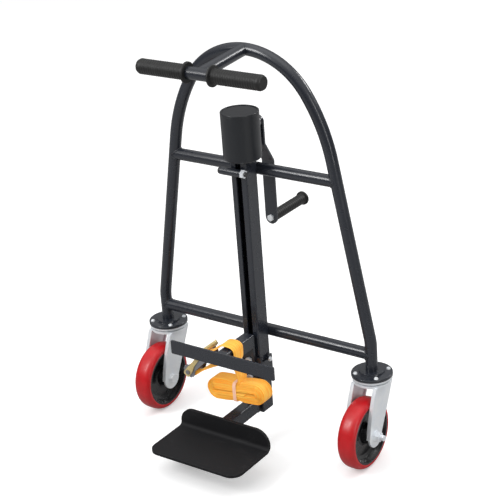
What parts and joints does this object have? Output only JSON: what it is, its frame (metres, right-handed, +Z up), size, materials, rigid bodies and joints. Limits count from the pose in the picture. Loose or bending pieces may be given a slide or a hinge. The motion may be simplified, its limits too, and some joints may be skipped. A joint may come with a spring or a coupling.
{
  "type": "crank-lift furniture mover",
  "caption": "Crank-operated lifting stand on swivel casters: plate, rest bar and strap raise and roll heavy furniture.",
  "frame": {"origin": "on the floor, under the middle of the footprint; the arch tube stands in the plane y = 54.2 mm", "axes": "+Z up; the lifted load stands on the -Y side; the operator and the crank are on the +Y side; +X to the right seen from the load"},
  "size_m": [0.622, 0.4626, 0.8535],
  "materials": {
    "powder_coat": "satin anthracite powder coat",
    "plate_coat": "matt black textured coat",
    "housing_coat": "satin charcoal",
    "grip_rubber": "matt ribbed",
    "zinc": "bright zinc plate",
    "yellow_zinc": "yellow passivated zinc",
    "steel": "machined",
    "gear_steel": "greased machined",
    "bronze": "machined",
    "nylon": "matt",
    "black_cap": "semi-gloss",
    "polyurethane": "satin red",
    "wheel_core": "semi-gloss black",
    "webbing": "woven polyester"
  },
  "bodies": {
    "frame": {"arch_tube": "powder_coat", "upper_crossbar": "powder_coat", "lower_crossbar": "powder_coat", "mast_channel": "powder_coat", "mast_end_plate": "powder_coat", "bottom_bush": "bronze", "handle_stem": "powder_coat", "handle_crossbar": "powder_coat", "left_handle_grip": "grip_rubber", "right_handle_grip": "grip_rubber", "gear_housing": "housing_coat", "housing_cap": "housing_coat", "crank_bush": "bronze", "strap_anchor_sleeve": "powder_coat", "strap_anchor_bolt": "black_cap", "strap_anchor_nut": "zinc", "left_flange": "powder_coat", "right_flange": "powder_coat", "flange_bolts": "zinc", "left_top_race": "zinc", "right_top_race": "zinc", "kingpins": "steel", "swivel_balls": "steel"},
    "screw": {"lead_screw": "steel", "screw_gear": "gear_steel", "thrust_balls": "steel"},
    "crank": {"crank_shaft": "steel", "crank_pinion": "gear_steel", "crank_arm": "powder_coat", "grip_bolt": "zinc"},
    "crank_grip": {"crank_grip": "grip_rubber"},
    "carriage": {"carriage_block": "steel", "wear_pads": "nylon", "lift_nut": "bronze", "carriage_bracket": "powder_coat", "side_pads": "nylon", "side_bolts": "zinc", "carriage_spine": "powder_coat", "carriage_screws": "zinc", "lower_arm": "powder_coat", "lifting_plate": "plate_coat", "upper_arm": "powder_coat", "rest_bar": "powder_coat", "strap_bundle": "webbing", "strap_webbing": "webbing", "ratchet_frame": "gear_steel"},
    "ratchet_handle": {"ratchet_handle": "yellow_zinc"},
    "ratchet_spool": {"ratchet_spool": "gear_steel"},
    "left_fork": {"left_fork": "zinc", "left_axle_bolt": "zinc", "left_axle_nut": "zinc"},
    "left_wheel": {"left_tyre": "polyurethane", "left_wheel_core": "wheel_core", "left_wheel_bearing": "steel"},
    "right_fork": {"right_fork": "zinc", "right_axle_bolt": "zinc", "right_axle_nut": "zinc"},
    "right_wheel": {"right_tyre": "polyurethane", "right_wheel_core": "wheel_core", "right_wheel_bearing": "steel"}
  },
  "joints": [
    {"name": "crank_turn", "type": "hinge", "parent": "frame", "child": "crank", "pos_m": [0, 0.0842, 0.6845], "axis": [0, -1, 0], "range_deg": [-6075, 37800]},
    {"name": "screw_turn", "type": "hinge", "parent": "frame", "child": "screw", "pos_m": [0, 0.0235, 0.4], "axis": [0, 0, -1], "range_deg": [-4051, 25201]},
    {"name": "carriage_lift", "type": "slide", "parent": "frame", "child": "carriage", "axis": [0, 0, 1], "range_m": [-0.0452, 0.2802]},
    {"name": "grip_spin", "type": "hinge", "parent": "crank", "child": "crank_grip", "pos_m": [0, 0.1692, 0.466], "axis": [0, 1, 0], "continuous": true},
    {"name": "ratchet_lever", "type": "hinge", "parent": "carriage", "child": "ratchet_handle", "pos_m": [-0.1, -0.0648, 0.172], "axis": [0, -1, 0], "range_deg": [0, 100]},
    {"name": "ratchet_spool_turn", "type": "hinge", "parent": "carriage", "child": "ratchet_spool", "pos_m": [-0.1, -0.0648, 0.172], "axis": [0, 1, 0], "continuous": true},
    {"name": "left_caster_swivel", "type": "hinge", "parent": "frame", "child": "left_fork", "pos_m": [-0.261, 0.0542, 0.18], "axis": [0, 0, 1], "continuous": true},
    {"name": "left_wheel_spin", "type": "hinge", "parent": "left_fork", "child": "left_wheel", "pos_m": [-0.261, 0.0112, 0.075], "axis": [1, 0, 0], "continuous": true},
    {"name": "right_caster_swivel", "type": "hinge", "parent": "frame", "child": "right_fork", "pos_m": [0.261, 0.0542, 0.18], "axis": [0, 0, 1], "continuous": true},
    {"name": "right_wheel_spin", "type": "hinge", "parent": "right_fork", "child": "right_wheel", "pos_m": [0.261, 0.0112, 0.075], "axis": [1, 0, 0], "continuous": true}
  ],
  "couplings": [
    {"joint": "screw_turn", "follows": "crank_turn", "ratio": 0.66667},
    {"joint": "carriage_lift", "follows": "crank_turn", "m_per_rad": 0.00042441}
  ]
}
